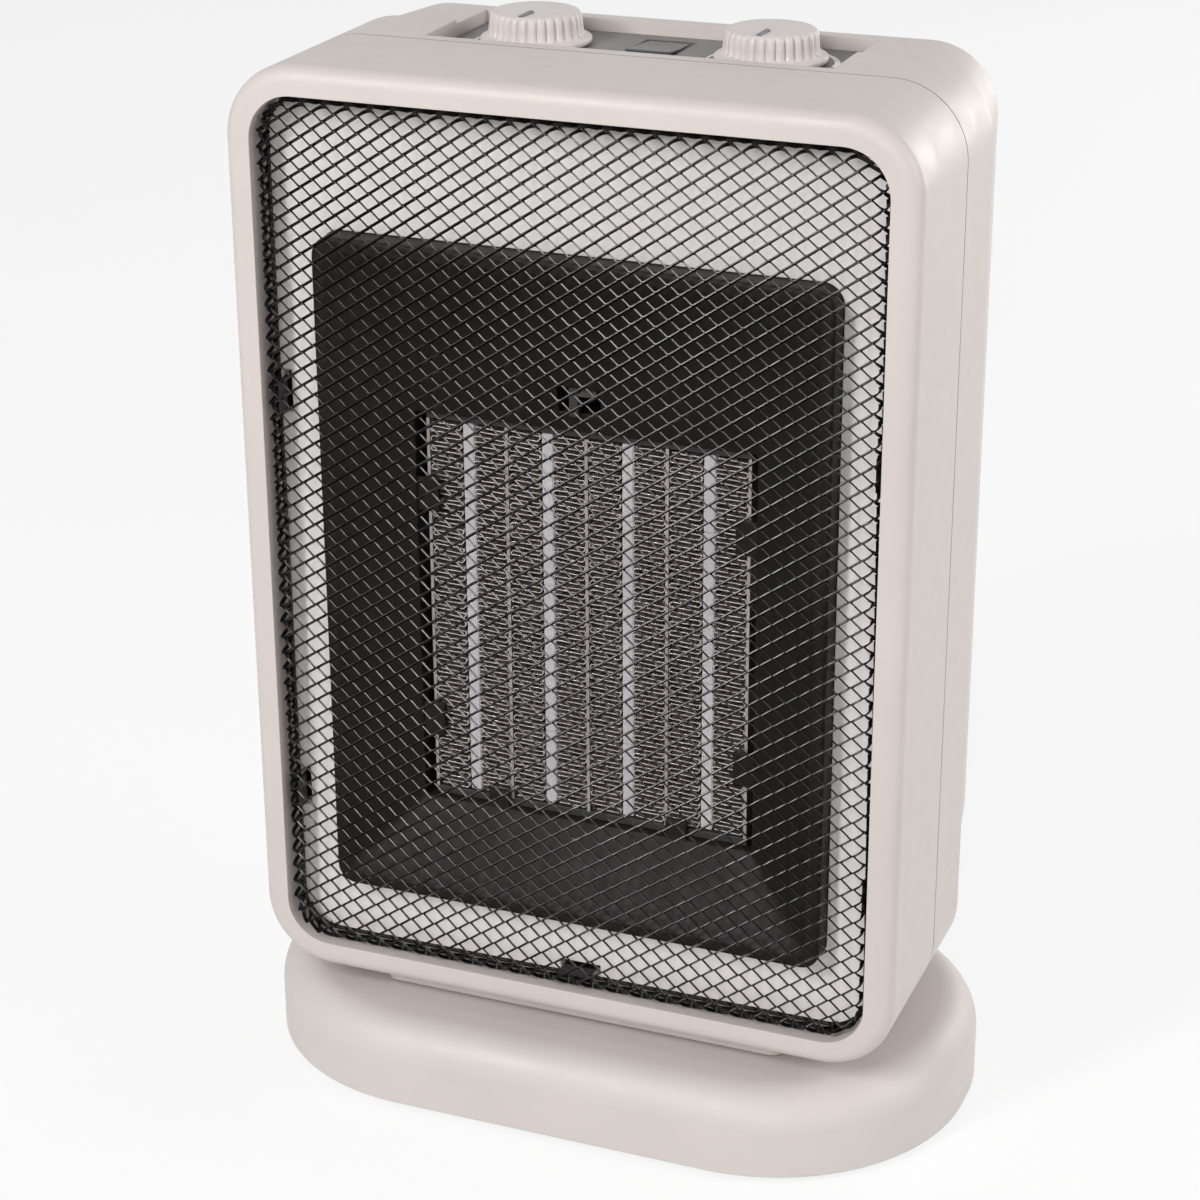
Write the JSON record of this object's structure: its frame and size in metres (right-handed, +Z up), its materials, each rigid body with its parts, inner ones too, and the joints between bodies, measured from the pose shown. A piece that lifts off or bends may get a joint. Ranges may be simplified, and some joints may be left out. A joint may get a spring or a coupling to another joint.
{
  "type": "fan heater",
  "caption": "Compact ceramic fan heater: a rounded pale head with a sunk black mesh front swivels on an oval base, with turning knobs on top and a slotted rear intake.",
  "frame": {"origin": "on the floor under the swivel axis, at the middle of the base", "axes": "+Z up, the mesh front faces -Y, +X to the right seen from the front"},
  "size_m": [0.206, 0.12, 0.297],
  "materials": {
    "white_plastic": "fine satin grain",
    "grille_black": "satin powder coat",
    "dish_black": "fine grain, heat resistant",
    "fin_metal": "folded sheet",
    "ceramic_white": "matt",
    "plate_metal": "rolled sheet",
    "cap_plastic": "moulded",
    "shroud_plastic": "moulded",
    "fan_plastic": "moulded",
    "motor_steel": "zinc plated",
    "shaft_steel": "ground",
    "bush_brass": "sintered",
    "switch_plastic": "moulded",
    "panel_grey": "fine satin grain",
    "knob_white": "satin",
    "rocker_grey": "satin gloss",
    "lens_amber": "clear tint",
    "screw_steel": "zinc plated",
    "gear_white": "moulded",
    "foot_rubber": "matt",
    "gland_black": "matt"
  },
  "bodies": {
    "base": {"base_cover": "white_plastic", "base_plate": "switch_plastic", "rubber_feet": "foot_rubber", "base_screws": "screw_steel", "swivel_bush": "gear_white", "oscillation_motor": "motor_steel", "drive_screws": "screw_steel", "tip_switch": "switch_plastic", "cord_gland": "gland_black"},
    "head": {"front_housing": "white_plastic", "rear_housing": "white_plastic", "mesh_grille": "grille_black", "outlet_dish": "dish_black", "dish_screws": "screw_steel", "contact_plates": "plate_metal", "ptc_strips": "ceramic_white", "heater_fins": "fin_metal", "heater_end_caps": "cap_plastic", "fan_shroud": "shroud_plastic", "shroud_screws": "screw_steel", "motor_can": "motor_steel", "motor_end_cap": "cap_plastic", "motor_bushes": "bush_brass", "overheat_cutout": "motor_steel", "terminal_block": "cap_plastic", "housing_screws": "screw_steel", "control_panel": "panel_grey", "mode_switch": "switch_plastic", "thermostat": "switch_plastic", "rocker_case": "switch_plastic", "indicator_lens": "lens_amber", "swivel_plinth": "white_plastic", "plinth_screws": "screw_steel", "drive_sector": "gear_white", "sector_screws": "screw_steel"},
    "fan": {"motor_rotor": "shaft_steel", "impeller": "fan_plastic", "impeller_nut": "bush_brass"},
    "mode_dial": {"mode_knob": "knob_white", "mode_spindle": "shaft_steel"},
    "thermostat_dial": {"thermostat_knob": "knob_white", "thermostat_spindle": "shaft_steel"},
    "rocker": {"oscillation_rocker": "rocker_grey"},
    "pinion": {"drive_pinion": "gear_white", "pinion_shaft": "shaft_steel"},
    "plunger": {"tip_plunger": "switch_plastic"}
  },
  "joints": [
    {"name": "head_swivel", "type": "hinge", "parent": "base", "child": "head", "pos_m": [0, 0, 0.026], "axis": [0, 0, 1], "range_deg": [-30, 30]},
    {"name": "fan_spin", "type": "hinge", "parent": "head", "child": "fan", "pos_m": [0, 0.005, 0.14145], "axis": [0, 1, 0], "continuous": true},
    {"name": "mode_turn", "type": "hinge", "parent": "head", "child": "mode_dial", "pos_m": [-0.033, 0.021, 0.2875], "axis": [0, 0, 1], "range_deg": [-135, 0]},
    {"name": "thermostat_turn", "type": "hinge", "parent": "head", "child": "thermostat_dial", "pos_m": [0.033, 0.021, 0.2875], "axis": [0, 0, 1], "range_deg": [-270, 0]},
    {"name": "rocker_tilt", "type": "hinge", "parent": "head", "child": "rocker", "pos_m": [0, 0.026, 0.286], "axis": [1, 0, 0], "range_deg": [0, 10]},
    {"name": "pinion_spin", "type": "hinge", "parent": "base", "child": "pinion", "pos_m": [0.05, 0, 0.009], "axis": [0, 0, 1], "range_deg": [-122, 122]},
    {"name": "plunger_slide", "type": "slide", "parent": "base", "child": "plunger", "axis": [0, 0, 1], "range_m": [-0.003, 0], "stiffness_N_per_m": 150, "springref_m": -0.005}
  ],
  "couplings": [
    {"joint": "pinion_spin", "follows": "head_swivel", "ratio": -4}
  ]
}
